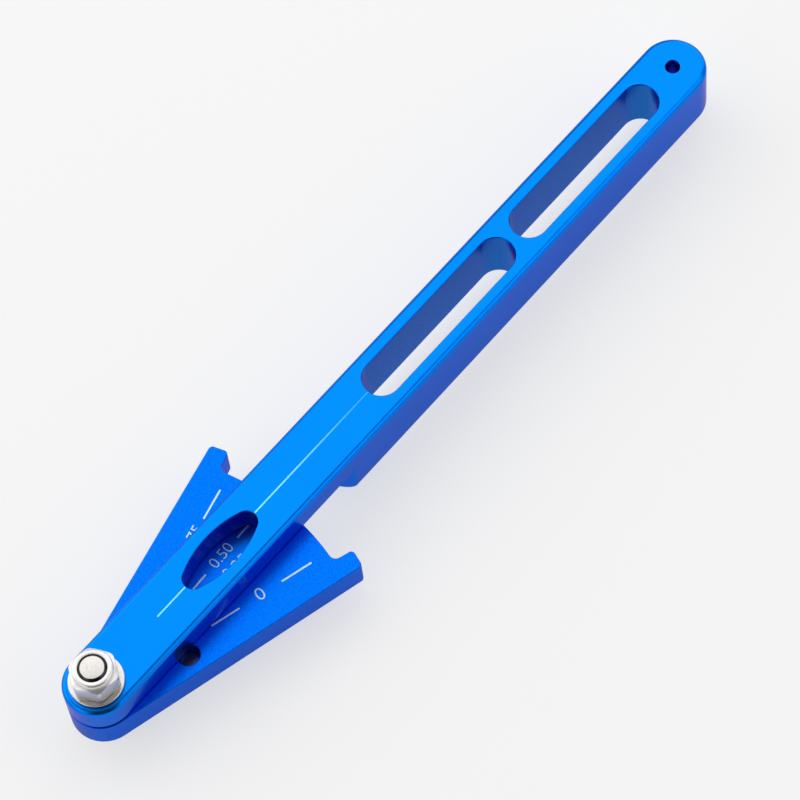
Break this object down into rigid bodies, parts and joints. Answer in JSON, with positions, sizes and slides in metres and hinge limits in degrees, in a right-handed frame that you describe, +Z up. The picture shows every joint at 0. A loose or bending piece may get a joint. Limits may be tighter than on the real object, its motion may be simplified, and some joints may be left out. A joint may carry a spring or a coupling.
{
  "type": "chain wear gauge",
  "caption": "Slotted blue bar with a reading window and a fan-shaped scale plate that swings on a bolt, with two steel measuring pins underneath.",
  "frame": {"origin": "axis of the fixed measuring pin, at its tip, in the plane on which the gauge lies", "axes": "+X along the bar, from the pivot to the fixed pin; +Z up, from the pins' tips to the nut"},
  "size_m": [0.1703, 0.0364, 0.0228],
  "materials": {
    "anodised_blue": "satin blue anodising",
    "anodised_blue_plate": "satin blue anodising, slightly grained",
    "stainless_steel": "bright, turned and stamped",
    "hardened_steel": "ground",
    "dark_plastic": "matte",
    "laser_mark": "chalky white, burnt into the dye"
  },
  "bodies": {
    "bar": {"handle_bar": "anodised_blue", "pivot_bolt": "stainless_steel", "lock_nut": "stainless_steel", "nut_insert": "dark_plastic", "top_washer": "stainless_steel", "bottom_washer": "stainless_steel", "fixed_pin": "hardened_steel"},
    "plate": {"scale_plate": "anodised_blue_plate", "swing_pin": "hardened_steel"}
  },
  "joints": [
    {"name": "plate_pivot", "type": "hinge", "parent": "bar", "child": "plate", "pos_m": [-0.1578, 0, 0.00715], "axis": [0, 0, 1], "continuous": true}
  ]
}
